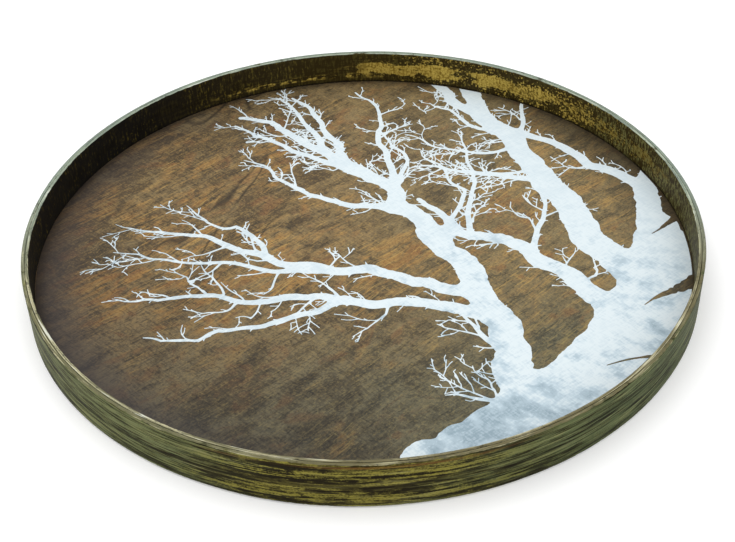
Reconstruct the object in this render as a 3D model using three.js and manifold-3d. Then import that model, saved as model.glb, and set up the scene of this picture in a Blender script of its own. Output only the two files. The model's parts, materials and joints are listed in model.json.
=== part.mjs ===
/**
 * Round serving tray with a tall bent-wood rim.
 *
 * The rim is a strip bent into a ring and closed with a scarf joint, with a second, shorter strip glued
 * inside it. The shorter strip stands on the edge of a veneered panel, so the two strips and the panel lock
 * together. Brads driven through the outer strip hold the panel's edge, and the tray stands on felt pads
 * glued under the panel, which reach just below the rim.
 *
 * Frame: millimetres, +Z up, with the origin on the table at the middle of the tray.
 */
import * as THREE from 'three';
import { mergeVertices } from 'three/addons/utils/BufferGeometryUtils.js';
import Module from 'manifold-3d';

const wasm = await Module();
wasm.setup();

// Overall sizes.
const TRAY_DIAMETER = 610;
const RIM_HEIGHT = 45;
const FLOOR_RISE = 11;

// Rim strips.
const OUTER_PLY_THICKNESS = 3.3;
const INNER_PLY_THICKNESS = 3.1;
const SCARF_LENGTH = 30;
const OUTER_SCARF_AZIMUTH = 257;
const INNER_SCARF_AZIMUTH = 77;

// Panel.
const CORE_THICKNESS = 6;
const VENEER_THICKNESS = 0.6;

// Brads: thin headed pins through the outer strip into the panel's edge.
const BRAD_COUNT = 12;
const BRAD_LENGTH = 20;
const BRAD_RADIUS = 0.6;
const BRAD_HEAD_RADIUS = 1.1;
const BRAD_HEAD_THICKNESS = 0.7;
const BRAD_POINT_LENGTH = 1.8;
const BRAD_SINK = 0.8;
const FIRST_BRAD_AZIMUTH = 12;

// Felt pads.
const PAD_COUNT = 6;
const PAD_RADIUS = 14;
const PAD_INSET = 34;
const PAD_PROUD = 1;
const FIRST_PAD_AZIMUTH = 30;

// Clearances.
const GLUE_LINE = 0.2;
const PANEL_FIT = 0.3;
const VENEER_FIT = 0.4;
const BRAD_FIT = 0.3;

// Facets.
const RING_SEGMENTS = 144;
const PAD_SEGMENTS = 32;
const BRAD_SEGMENTS = 8;

// Radii, from the outside in.
const rimRadius = TRAY_DIAMETER / 2;
const outerPlyInside = rimRadius - OUTER_PLY_THICKNESS;
const innerPlyOutside = outerPlyInside - GLUE_LINE;
const innerPlyInside = innerPlyOutside - INNER_PLY_THICKNESS;
const panelRadius = outerPlyInside - PANEL_FIT;
const faceVeneerRadius = innerPlyInside - VENEER_FIT;

// Heights, from the table up.
const rimBottom = PAD_PROUD;
const rimTop = rimBottom + RIM_HEIGHT;
const floorTop = rimBottom + FLOOR_RISE;
const coreTop = floorTop - VENEER_THICKNESS - GLUE_LINE;
const coreBottom = coreTop - CORE_THICKNESS;
const backingBottom = coreBottom - GLUE_LINE - VENEER_THICKNESS;
const innerPlyBottom = coreTop + GLUE_LINE;
const padTop = backingBottom - GLUE_LINE;
const bradHeight = (coreTop + coreBottom) / 2;

/** Points on an arc about the origin, both ends included; azimuths are in radians. */
function arcPoints(radius, from, to, segments) {
  const points = [];
  for (let i = 0; i <= segments; i += 1) {
    const azimuth = from + (to - from) * i / segments;
    points.push(new THREE.Vector2(radius * Math.cos(azimuth), radius * Math.sin(azimuth)));
  }
  return points;
}

/** A plain prism on a closed outline, from z = 0 up to its height. */
function prism(outline, height) {
  return new THREE.ExtrudeGeometry(new THREE.Shape(outline), { depth: height, bevelEnabled: false });
}

/** A flat disc lying on z = 0. */
function disc(radius, thickness, segments) {
  const outline = arcPoints(radius, 0, 2 * Math.PI, segments);
  outline.pop();
  return prism(outline, thickness);
}

/**
 * A strip bent into a ring. Its two ends are cut to matching long slants, and lie over each other with a
 * glue line between them, centred on the scarf's azimuth.
 */
function bentStrip(outside, inside, height, scarfAzimuth) {
  const middle = (outside + inside) / 2;
  const centre = THREE.MathUtils.degToRad(scarfAzimuth);
  const half = SCARF_LENGTH / 2 / middle;
  const slant = Math.atan((outside - inside) / SCARF_LENGTH);
  const gap = GLUE_LINE / Math.sin(slant) / middle;
  const turn = 2 * Math.PI;
  const outer = arcPoints(outside, centre + half + gap / 2, centre + half - gap / 2 + turn, RING_SEGMENTS);
  const inner = arcPoints(inside, centre - half - gap / 2 + turn, centre - half + gap / 2, RING_SEGMENTS);
  return prism([...outer, ...inner], height);
}

/** A brad's half outline, or its hole's, as radius and distance from the tip, with a margin all round. */
function bradProfile(margin) {
  const shank = BRAD_RADIUS + margin;
  const head = BRAD_HEAD_RADIUS + margin;
  return [
    new THREE.Vector2(0, -margin),
    new THREE.Vector2(shank, BRAD_POINT_LENGTH - margin),
    new THREE.Vector2(shank, BRAD_LENGTH - BRAD_HEAD_THICKNESS - margin),
    new THREE.Vector2(head, BRAD_LENGTH - BRAD_HEAD_THICKNESS - margin),
  ];
}

/** A brad, with its point at the origin and its head along +Y. */
function brad() {
  const profile = bradProfile(0);
  profile.push(new THREE.Vector2(BRAD_HEAD_RADIUS, BRAD_LENGTH));
  profile.push(new THREE.Vector2(0, BRAD_LENGTH));
  return new THREE.LatheGeometry(profile, BRAD_SEGMENTS);
}

/** The hole that a brad makes, with its margin and the sunk head's recess, open at the outside. */
function bradHole() {
  const mouth = BRAD_LENGTH + 2 * BRAD_SINK;
  const profile = bradProfile(BRAD_FIT);
  profile.push(new THREE.Vector2(BRAD_HEAD_RADIUS + BRAD_FIT, mouth));
  profile.push(new THREE.Vector2(0, mouth));
  return new THREE.LatheGeometry(profile, BRAD_SEGMENTS);
}

/** The matrix that lays a brad or its hole along the radius at an azimuth, with the head outwards. */
function bradPlace(index) {
  const azimuth = THREE.MathUtils.degToRad(FIRST_BRAD_AZIMUTH + index * 360 / BRAD_COUNT);
  const tipRadius = rimRadius - BRAD_SINK - BRAD_LENGTH;
  const turn = new THREE.Matrix4().makeRotationZ(azimuth - Math.PI / 2);
  const slide = new THREE.Matrix4().makeTranslation(0, tipRadius, bradHeight);
  return turn.multiply(slide);
}

/** Turns a closed geometry into a solid that can be joined and cut. */
function toSolid(geometry) {
  const bare = geometry.clone();
  bare.deleteAttribute('normal');
  bare.deleteAttribute('uv');
  const merged = mergeVertices(bare);
  return new wasm.Manifold(new wasm.Mesh({
    numProp: 3,
    vertProperties: new Float32Array(merged.attributes.position.array),
    triVerts: new Uint32Array(merged.index.array),
  }));
}

/** Turns a cut solid back into a geometry. */
function toGeometry(solid) {
  const mesh = solid.getMesh();
  const geometry = new THREE.BufferGeometry();
  geometry.setAttribute('position', new THREE.BufferAttribute(new Float32Array(mesh.vertProperties), 3));
  geometry.setIndex(new THREE.BufferAttribute(new Uint32Array(mesh.triVerts), 1));
  geometry.computeVertexNormals();
  return geometry;
}

/** Cuts every brad's hole into a geometry whose own z = 0 lies at a height above the table. */
function withBradHoles(geometry, height) {
  let solid = toSolid(geometry);
  for (let i = 0; i < BRAD_COUNT; i += 1) {
    const hole = bradHole().applyMatrix4(bradPlace(i)).translate(0, 0, -height);
    solid = solid.subtract(toSolid(hole));
  }
  return toGeometry(solid);
}

const finishes = {
  outerRim: { color: 0x4b461f, roughness: 0.45, metalness: 0.35 },
  innerRim: { color: 0x3a3218, roughness: 0.5, metalness: 0.35 },
  floor: { color: 0x5b4a33, roughness: 0.5, metalness: 0 },
  core: { color: 0xb89a6a, roughness: 0.85, metalness: 0 },
  backing: { color: 0x2a2520, roughness: 0.7, metalness: 0 },
  brad: { color: 0x9a9a96, roughness: 0.4, metalness: 0.9 },
  felt: { color: 0x2b2a28, roughness: 0.95, metalness: 0 },
};

/** A named mesh with its own material, its local z = 0 lifted to a height above the table. */
function piece(name, geometry, finish, height) {
  const mesh = new THREE.Mesh(geometry, new THREE.MeshStandardMaterial(finish));
  mesh.name = name;
  mesh.position.z = height;
  return mesh;
}

/** The two bent strips, glued face to face. */
function rim() {
  const group = new THREE.Group();
  const outer = bentStrip(rimRadius, outerPlyInside, RIM_HEIGHT, OUTER_SCARF_AZIMUTH);
  const inner = bentStrip(innerPlyOutside, innerPlyInside, rimTop - innerPlyBottom, INNER_SCARF_AZIMUTH);
  group.add(piece('rim_outer_ply', withBradHoles(outer, rimBottom), finishes.outerRim, rimBottom));
  group.add(piece('rim_inner_ply', inner, finishes.innerRim, innerPlyBottom));
  return group;
}

/** The board with a stained face veneer above it and a balancing veneer below. */
function panel() {
  const group = new THREE.Group();
  const core = withBradHoles(disc(panelRadius, CORE_THICKNESS, RING_SEGMENTS), coreBottom);
  const face = disc(faceVeneerRadius, VENEER_THICKNESS, RING_SEGMENTS);
  const backing = disc(panelRadius, VENEER_THICKNESS, RING_SEGMENTS);
  group.add(piece('panel_core', core, finishes.core, coreBottom));
  group.add(piece('face_veneer', face, finishes.floor, floorTop - VENEER_THICKNESS));
  group.add(piece('backing_veneer', backing, finishes.backing, backingBottom));
  return group;
}

/** The brads, evenly spaced round the panel's edge. */
function brads() {
  const group = new THREE.Group();
  for (let i = 0; i < BRAD_COUNT; i += 1) {
    const mesh = piece(`rim_brad_${i + 1}`, brad(), finishes.brad, 0);
    mesh.applyMatrix4(bradPlace(i));
    group.add(mesh);
  }
  return group;
}

/** The felt pads under the panel, in a circle inside the rim. */
function pads() {
  const group = new THREE.Group();
  const circle = rimRadius - PAD_INSET;
  for (let i = 0; i < PAD_COUNT; i += 1) {
    const azimuth = THREE.MathUtils.degToRad(FIRST_PAD_AZIMUTH + i * 360 / PAD_COUNT);
    const mesh = piece(`felt_pad_${i + 1}`, disc(PAD_RADIUS, padTop, PAD_SEGMENTS), finishes.felt, 0);
    mesh.position.x = circle * Math.cos(azimuth);
    mesh.position.y = circle * Math.sin(azimuth);
    group.add(mesh);
  }
  return group;
}

const tray = new THREE.Group();
tray.add(rim(), panel(), brads(), pads());

export default tray;
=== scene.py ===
"""Round serving tray: a bent-wood rim in worn metal leaf round a stained veneer floor with a painted tree.

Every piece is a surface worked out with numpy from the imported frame's boxes. Lengths are in metres unless a
name ends in _mm or a docstring says otherwise. In a finish, a ramp turns noise, which lies around 0.5, into a
share of a colour from 0 to 1.
"""
import json
import logging
import math
from collections.abc import Iterable, Sequence
from dataclasses import dataclass, field
from enum import Enum

import bpy
import numpy as np
from mathutils import Matrix, Vector
from mathutils.geometry import delaunay_2d_cdt

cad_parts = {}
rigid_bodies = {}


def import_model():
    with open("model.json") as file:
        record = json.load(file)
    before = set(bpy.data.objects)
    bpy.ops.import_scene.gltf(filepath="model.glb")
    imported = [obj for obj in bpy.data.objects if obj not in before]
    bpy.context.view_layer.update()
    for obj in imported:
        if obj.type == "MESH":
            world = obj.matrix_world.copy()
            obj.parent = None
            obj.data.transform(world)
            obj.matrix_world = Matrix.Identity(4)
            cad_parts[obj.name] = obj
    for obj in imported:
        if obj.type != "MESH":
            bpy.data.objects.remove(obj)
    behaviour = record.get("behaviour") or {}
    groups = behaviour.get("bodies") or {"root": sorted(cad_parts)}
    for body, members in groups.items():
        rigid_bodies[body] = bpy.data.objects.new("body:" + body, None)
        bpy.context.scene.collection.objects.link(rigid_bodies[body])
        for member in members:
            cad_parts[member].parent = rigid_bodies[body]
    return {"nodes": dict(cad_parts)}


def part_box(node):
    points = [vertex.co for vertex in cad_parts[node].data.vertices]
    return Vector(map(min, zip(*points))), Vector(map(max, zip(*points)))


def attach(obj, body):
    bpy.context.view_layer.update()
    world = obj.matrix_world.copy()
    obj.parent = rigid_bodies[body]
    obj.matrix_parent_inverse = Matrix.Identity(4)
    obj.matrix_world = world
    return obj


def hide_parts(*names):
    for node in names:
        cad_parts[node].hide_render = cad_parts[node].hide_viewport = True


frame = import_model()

LOG = logging.getLogger("serving_tray")
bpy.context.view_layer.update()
BODY = "root"
MM = 0.001
TURN = 2.0 * math.pi
QUARTER = TURN / 4

Colour = tuple[float, ...]
Socket = bpy.types.NodeSocket
Material = bpy.types.Material
Piece = bpy.types.Object


# --- Shader building ---


def paint(red: float, green: float, blue: float) -> Colour:
    """Turns a display colour into the linear colour that a shader takes.

    Args:
        red: Red from 0 to 255, as a paint chart gives it.
        green: Green from 0 to 255.
        blue: Blue from 0 to 255.

    Returns:
        The linear colour with full alpha.
    """
    chart = np.array([red, green, blue]) / 255.0
    linear = np.where(chart <= 0.04045, chart / 12.92, ((chart + 0.055) / 1.055) ** 2.4)
    return (*map(float, linear), 1.0)


def grey(level: float) -> Colour:
    """The linear grey of a level from 0 to 1, with full alpha."""
    return (level, level, level, 1.0)


class Value:
    """A number socket. Python's operators on it add Math nodes."""

    def __init__(self, sheet: "ShaderSheet", socket: Socket) -> None:
        """Wraps a socket of the sheet's node tree."""
        self.sheet = sheet
        self.socket = socket

    def math(self, operation: str, *others: "Value | float") -> "Value":
        """The result of a Math node on this value and any further operands."""
        return self.sheet.math(operation, self, *others)

    def __add__(self, other: "Value | float") -> "Value":
        """Self plus other."""
        return self.math("ADD", other)

    def __sub__(self, other: "Value | float") -> "Value":
        """Self minus other."""
        return self.math("SUBTRACT", other)

    def __rsub__(self, other: float) -> "Value":
        """Other minus self."""
        return self.sheet.math("SUBTRACT", other, self)

    def __mul__(self, other: "Value | float") -> "Value":
        """Self times other."""
        return self.math("MULTIPLY", other)

    def __truediv__(self, other: "Value | float") -> "Value":
        """Self divided by other."""
        return self.math("DIVIDE", other)

    def __pow__(self, power: float) -> "Value":
        """Self to a power."""
        return self.math("POWER", power)

    __radd__ = __add__
    __rmul__ = __mul__

    def ramp(self, low: float, high: float) -> "Value":
        """A smooth step on this value.

        Args:
            low: Where the step is 0.
            high: Where it is 1, which may be less than low.

        Returns:
            The step.
        """
        inputs = {"Value": self, "From Min": low, "From Max": high}
        node = self.sheet.node("ShaderNodeMapRange", {"interpolation_type": "SMOOTHSTEP"}, inputs)
        return Value(self.sheet, node.outputs["Result"])

    def near(self, centre: float, width: float) -> "Value":
        """A smooth bump that is 1 at centre and 0 beyond width on either side."""
        return (self - centre).math("ABSOLUTE").ramp(width, 0.0)


class ShaderSheet:
    """A material being drawn up: its node tree, its base colour so far and the ways of adding to them."""

    def __init__(self, name: str) -> None:
        """Starts an empty material.

        Args:
            name: The material's name.
        """
        self.material = bpy.data.materials.new(name)
        self.material.use_nodes = True
        self.tree = self.material.node_tree
        self.tree.nodes.clear()
        self.place = self.node("ShaderNodeTexCoord", {}, {}).outputs["Object"]
        axes = self.node("ShaderNodeSeparateXYZ", {}, {"Vector": self.place})
        self.x, self.y, self.z = (Value(self, axis) for axis in axes.outputs)
        self.base: Colour | Socket = grey(1.0)

    def node(self, kind: str, settings: dict[str, object], inputs: dict[str | int, object]) -> bpy.types.Node:
        """Adds one node: its settings first, then its inputs.

        Args:
            kind: The node's type.
            settings: Attributes to set, such as an operation.
            inputs: Socket names or numbers, with a number, a colour, a Value or a socket to link for each.

        Returns:
            The new node.
        """
        node = self.tree.nodes.new(kind)
        for key, setting in settings.items():
            setattr(node, key, setting)
        for key, given in inputs.items():
            source = given.socket if isinstance(given, Value) else given
            if isinstance(source, Socket):
                self.tree.links.new(source, node.inputs[key])
            else:
                node.inputs[key].default_value = source
        return node

    def math(self, operation: str, *operands: Value | float) -> Value:
        """The result of a Math node on one to three operands."""
        node = self.node("ShaderNodeMath", {"operation": operation}, dict(enumerate(operands)))
        return Value(self, node.outputs[0])

    def vector(self, operation: str, *operands: Socket | Sequence[float]) -> Socket:
        """The result of a Vector Math node on two or three operands."""
        node = self.node("ShaderNodeVectorMath", {"operation": operation}, dict(enumerate(operands)))
        return node.outputs["Vector"]

    def noise(self, cycles: Socket, detail: float, twist: float = 0.0) -> Value:
        """Soft noise around 0.5.

        Args:
            cycles: Coordinates, already scaled to cycles.
            detail: Octaves of finer noise.
            twist: Distortion of the noise by itself.

        Returns:
            The noise.
        """
        inputs = {"Vector": cycles, "Scale": 1.0, "Detail": detail, "Roughness": 0.55, "Distortion": twist}
        return Value(self, self.node("ShaderNodeTexNoise", {}, inputs).outputs["Fac"])

    def marks(
        self,
        per_axis: Sequence[float],
        detail: float,
        twist: float = 0.0,
        turn: float = 0.0,
        bend: Socket | None = None,
    ) -> Value:
        """Noise on object coordinates turned about Z and then scaled axis by axis.

        Args:
            per_axis: Cycles per metre along X, Y and Z.
            detail: Octaves of finer noise.
            twist: Distortion of the noise by itself.
            turn: The angle in radians that is turned onto X.
            bend: Coordinates to start from in place of the plain object coordinates.

        Returns:
            The noise.
        """
        start = self.place if bend is None else bend
        turned = self.node("ShaderNodeMapping", {}, {"Vector": start, "Rotation": (0.0, 0.0, -turn)})
        return self.noise(self.vector("MULTIPLY", turned.outputs["Vector"], per_axis), detail, twist)

    def rim_marks(self, cycles: Sequence[float], detail: float, twist: float = 0.0) -> Value:
        """Noise for marks that run round the rim, on X, Y and the sum of the radius and the height.

        Args:
            cycles: Cycles per metre of radius, round the rim and of height.
            detail: Octaves of finer noise.
            twist: Distortion of the noise by itself.

        Returns:
            The noise.
        """
        per_radius, per_round, per_height = cycles
        across = self.radius() * per_radius + self.z * per_height
        parts = {"X": self.x * per_round, "Y": self.y * per_round, "Z": across}
        return self.noise(self.node("ShaderNodeCombineXYZ", {}, parts).outputs["Vector"], detail, twist)

    def bent(self, amount: float, cycles: float, detail: float) -> Socket:
        """Object coordinates pushed about by noise, so that straight grain wanders.

        Args:
            amount: The largest push in metres.
            cycles: Cycles of the push per metre.
            detail: Octaves of finer push.

        Returns:
            The coordinates.
        """
        noise = self.node("ShaderNodeTexNoise", {}, {"Vector": self.place, "Scale": cycles, "Detail": detail})
        centred = self.vector("SUBTRACT", noise.outputs["Color"], (0.5, 0.5, 0.5))
        return self.vector("MULTIPLY_ADD", centred, (2 * amount, 2 * amount, 0.0), self.place)

    def radius(self) -> Value:
        """The distance from the tray's axis."""
        return (self.x * self.x + self.y * self.y).math("SQRT")

    def facing(self, azimuth: float) -> Value:
        """The cosine between the direction from the axis and an azimuth in degrees."""
        way = (math.cos(math.radians(azimuth)), math.sin(math.radians(azimuth)))
        return (self.x * way[0] + self.y * way[1]) / self.radius()

    def mix(self, share: Value, below: object, above: object, blend: str = "MIX") -> Socket:
        """One colour over another.

        Args:
            share: How much of the upper colour shows, from 0 to 1.
            below: The lower colour, as four numbers or a socket.
            above: The upper colour, as four numbers or a socket.
            blend: The Mix node's blend type.

        Returns:
            The colour.
        """
        settings = {"data_type": "RGBA", "blend_type": blend, "clamp_factor": True}
        return self.node("ShaderNodeMix", settings, {0: share, 6: below, 7: above}).outputs[2]

    def lay(self, share: Value, colour: object, blend: str = "MIX") -> None:
        """Lays a colour over the base colour so far."""
        self.base = self.mix(share, self.base, colour, blend)

    def bump(self, height: Value, depth: float) -> Socket:
        """A normal bumped by relief from 0 to 1 whose full depth is in metres."""
        inputs = {"Height": height, "Distance": depth, "Strength": 1.0}
        return self.node("ShaderNodeBump", {}, inputs).outputs["Normal"]

    def finish(self, **sockets: object) -> Material:
        """Closes the material with a Principled shader on the base colour.

        Args:
            sockets: Principled inputs by name, with underscores for spaces.

        Returns:
            The finished material.
        """
        inputs = {key.replace("_", " "): given for key, given in sockets.items()}
        shader = self.node("ShaderNodeBsdfPrincipled", {}, {"Base Color": self.base} | inputs)
        self.node("ShaderNodeOutputMaterial", {}, {"Surface": shader.outputs["BSDF"]})
        return self.material


# --- Finishes ---


@dataclass(frozen=True)
class StainedVeneer:
    """Dark stained veneer with short crossing fibres, orange patches, greyer areas and a few dark lines, with
    painted shade on the near side and painted shadow along the wall.
    """

    grain_angle: float = math.radians(41)
    wall_radius: float = 0.298
    relief: float = 0.00012
    khaki: Colour = paint(130, 112, 78)
    umber: Colour = paint(88, 73, 50)
    orange: Colour = paint(156, 112, 54)
    gold: Colour = paint(178, 146, 84)
    rust: Colour = paint(120, 80, 48)
    dark_line: Colour = paint(44, 36, 26)
    slate: Colour = paint(74, 70, 56)
    drab: Colour = paint(128, 118, 86)
    # Painted shadow of the wall, laid over the floor's left edge.
    shadow_violet: Colour = paint(84, 76, 72)
    # Painted shade, multiplied over the near side and the near left of the floor.
    painted_cool_shade: Colour = (0.60, 0.74, 0.94, 1.0)
    painted_dark_shade: Colour = (0.60, 0.58, 0.60, 1.0)
    # Painted shadow of the wall, multiplied over the floor's edge.
    painted_wall_shade: Colour = (0.60, 0.63, 0.74, 1.0)

    def material(self) -> Material:
        """Draws up the veneer: its figure and stain, then its fibres, then painted shade on the near and left
        sides and painted shadow of the wall along the edge.

        Returns:
            The material.
        """
        sheet = ShaderSheet("stained_veneer")
        bent = sheet.bent(0.012, 8.0, 3.0)
        angle = self.grain_angle
        fibre = sheet.marks((50, 520, 60), 4, 0.1, angle, bent)
        thread = sheet.marks((42, 700, 60), 4, 0.1, angle + 0.06, bent)
        cross = sheet.marks((560, 90, 60), 3, 0.2, angle + 0.10, bent)
        streak = sheet.marks((14, 80, 10), 5, 0.8, angle, bent)
        mottle = sheet.marks((40, 60, 40), 6, 1.2, angle, bent)
        cloud = sheet.marks((6, 9, 6), 3, 0.0, angle)
        patch = sheet.marks((11, 20, 9), 5, 1.0, angle + 0.3, bent)
        tint = sheet.marks((18, 26, 11), 5, 1.2, angle - 0.2, bent)
        figure = sheet.marks((1.6, 6, 2), 2, 0.5, angle + 0.5, bent)
        grit = sheet.marks((430, 620, 300), 3, 0.5, angle)

        leftward = sheet.x.ramp(0.04, -0.14)
        rings = (figure * (TURN * 5.0)).math("SINE") * (leftward * 0.060 + 0.014)
        tone = streak * 0.35 + mottle * 0.45 + cross * 0.2 + rings
        sheet.base = sheet.mix(tone.ramp(0.39, 0.61), self.umber, self.khaki)
        # The orange patches are stain, placed a little towards a band through the middle as a painted
        # highlight.
        middle = (sheet.y + sheet.x * 0.35).near(-0.03, 0.24)
        warm = (patch * 0.5 + cloud * 0.5 + middle * 0.08).ramp(0.50, 0.62)
        glow = (fibre * 0.3 + streak * 0.35 + mottle * 0.35).ramp(0.46, 0.58)
        sheet.lay(warm * glow * 0.75, self.orange)
        sheet.lay(sheet.x.ramp(-0.04, 0.16) * 0.40, self.drab)
        sheet.lay(tint.ramp(0.53, 0.62) * mottle.ramp(0.40, 0.60) * 0.55, self.rust)
        sheet.lay(tint.ramp(0.46, 0.36) * 0.35, self.slate)

        sheet.lay((warm * 0.7 + 0.3) * (thread * 0.8 + streak * 0.2).ramp(0.53, 0.62) * 0.65, self.gold)
        sheet.lay((warm * 0.6 + 0.4) * cross.ramp(0.56, 0.68) * 0.28, self.gold)
        sheet.lay((fibre * 0.75 + mottle * 0.25).ramp(0.47, 0.36) * (leftward * 0.15 + 0.45), self.dark_line)
        sheet.lay(cross.ramp(0.46, 0.34) * (leftward * 0.20 + 0.15), self.dark_line)
        sheet.lay((streak * 0.5 + tint * 0.5).ramp(0.46, 0.35) * (leftward * 0.02 + 0.38), self.dark_line)
        sheet.lay(grit.ramp(0.52, 0.68) * 0.34, self.gold)
        sheet.lay(grit.ramp(0.48, 0.32) * 0.46, self.dark_line)

        # Painted shade: the near side is darkened and cooled, and the near left darkened further.
        drift = (cloud - 0.5) * 0.14
        near_side_shade = (sheet.y * -1.0 + sheet.x * 0.15 + drift).ramp(0.03, 0.21)
        sheet.lay(near_side_shade * 0.95, self.painted_cool_shade, "MULTIPLY")
        near_left_shade = (sheet.y * -0.7 - sheet.x * 0.7 + drift).ramp(0.06, 0.27)
        sheet.lay(near_left_shade * 0.9, self.painted_dark_shade, "MULTIPLY")
        far_left = sheet.x.ramp(-0.02, -0.12) * sheet.y.ramp(-0.06, 0.02)
        line = (figure * 5.0).math("FRACT").near(0.5, 0.034) * patch.ramp(0.36, 0.48) * far_left
        sheet.lay(line * 0.80, self.dark_line)
        # Painted shadow of the wall: within 60 mm of it the floor is darkened and cooled, most on the left
        # and right, and darker still in its last 10 mm at the corner with the wall.
        edge = sheet.radius().ramp(self.wall_radius - 0.060, self.wall_radius - 0.004)
        left = sheet.facing(190.0).ramp(0.1, 0.9)
        right = sheet.facing(18.0).ramp(0.6, 0.96)
        sheet.lay(edge * left * 0.50, self.shadow_violet)
        sheet.lay(edge * (left * 0.55 + right * 0.6 + 0.25), self.painted_wall_shade, "MULTIPLY")
        sheet.lay(edge * right * 0.40, self.dark_line)
        sheet.lay(sheet.radius().ramp(self.wall_radius - 0.010, self.wall_radius) * 0.5, self.dark_line)
        relief = sheet.bump(fibre * 0.6 + cross * 0.4, self.relief)
        return sheet.finish(Roughness=0.46 + fibre * 0.16, Normal=relief, Specular_IOR_Level=0.2)


@dataclass(frozen=True)
class BrushedWhite:
    """Thin cool white paint, brushed on and rubbed back to blue-grey about the roots."""

    white: Colour = paint(214, 225, 229)
    shade: Colour = paint(184, 202, 212)
    worn: Colour = paint(122, 144, 156)
    brush_angle: float = math.radians(38)
    cloud_angle: float = math.radians(62)
    roots: tuple[float, float] = (0.15, -0.20)
    relief: float = 0.00008

    def material(self) -> Material:
        """Draws up the paint: its brush marks, then the rubbing about the roots and on the left.

        Returns:
            The material.
        """
        sheet = ShaderSheet("brushed_white_paint")
        cloud = sheet.marks((58, 44, 16), 6, 0.2, self.cloud_angle)
        wash = sheet.marks((8, 8, 8), 3)
        brush = sheet.marks((110, 520, 20), 3, 0.0, self.brush_angle)
        across = sheet.marks((520, 130, 20), 3, 0.0, self.brush_angle)
        away = ((sheet.x - self.roots[0]) ** 2.0 + (sheet.y - self.roots[1]) ** 2.0).math("SQRT")
        rooted = away.ramp(0.28, 0.16)
        hatch = brush * 0.5 + across * 0.5
        sheet.base = sheet.mix(hatch.ramp(0.54, 0.40) * 0.25, self.white, self.shade)
        low = sheet.y.ramp(-0.17, -0.24) * 0.03 + sheet.x.near(0.09, 0.09) * sheet.y.ramp(-0.18, -0.23) * 0.05
        faded = (cloud * 0.45 + wash * 0.30 + hatch * 0.25 - low).ramp(0.54, 0.43)
        sheet.lay(faded * (rooted * 0.8 + 0.2), self.shade)
        rubbed = (cloud * 0.52 + wash * 0.20 + hatch * 0.28 - low).ramp(0.47, 0.38)
        sheet.lay(rubbed * rooted * (hatch.ramp(0.40, 0.58) * 0.45 + 0.28), self.worn)
        thin = (brush * 0.6 + cloud * 0.4).ramp(0.60, 0.42)
        sheet.lay(sheet.x.ramp(-0.02, -0.24) * thin * 0.45, self.worn)
        relief = sheet.bump(hatch, self.relief)
        return sheet.finish(Roughness=0.5 + brush * 0.15, Normal=relief, Specular_IOR_Level=0.25)


@dataclass(frozen=True)
class RimTop:
    """The pale leaf on the rim's upper edge, which a rim finish lays over its wall."""

    white: Colour = paint(214, 217, 206)
    champagne: Colour = paint(164, 174, 152)
    silver: Colour = paint(126, 138, 126)
    patina: Colour = paint(74, 76, 66)
    olive: Colour = paint(108, 106, 78)
    cream: Colour = paint(182, 176, 142)
    umber: Colour = paint(104, 96, 68)
    edge_depth: float = 0.35 * MM
    edge_softness: float = 0.15 * MM
    raggedness: float = 1.3 * MM
    lightness: float = 0.5

    def colour(self, sheet: ShaderSheet) -> Socket:
        """Streaks of white, champagne and silver that run round the rim, with dark specks.

        Args:
            sheet: The rim material being drawn up.

        Returns:
            The colour.
        """
        streak = sheet.rim_marks((900, 22, 0), 4, 0.3)
        patch = sheet.marks((30, 30, 60), 3)
        speck = sheet.rim_marks((1500, 260, 0), 3)
        level = 0.53 - (self.lightness - 0.5) * 0.35
        rising = (streak - level).ramp(-0.09, 0.07)
        far = sheet.facing(88.0).ramp(-0.42, 0.22)
        near_tone = sheet.mix(rising, self.olive, self.cream)
        base = sheet.mix(far, near_tone, sheet.mix(rising, self.silver, self.champagne))
        # Painted highlight: the white streaks lean a little towards the near left.
        near_left_highlight = sheet.facing(-120.0).ramp(0.2, 0.95) * 0.03
        right = sheet.facing(-58.0).ramp(0.42, 0.92)
        whitest = (streak * 0.5 + patch * 0.5 - level + near_left_highlight).ramp(0.05, 0.12)
        base = sheet.mix(whitest * (0.78 - right * 0.45), base, self.white)
        base = sheet.mix(right * (streak * 0.6 + patch * 0.4).ramp(0.60, 0.46) * 0.8, base, self.umber)
        return sheet.mix(speck.ramp(0.45, 0.34) * patch.ramp(0.66, 0.44) * 0.85, base, self.patina)

    def cover(self, sheet: ShaderSheet, top: float) -> None:
        """Lays the upper edge's leaf over the wall, above a ragged line just under the arris.

        Args:
            sheet: The rim material being drawn up.
            top: The height of the rim's top.
        """
        ragged = sheet.marks((120, 120, 120), 4)
        height = sheet.z + (ragged - 0.5) * self.raggedness
        line = top - self.edge_depth
        sheet.lay(height.ramp(line - self.edge_softness, line + self.edge_softness), self.colour(sheet))


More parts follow.
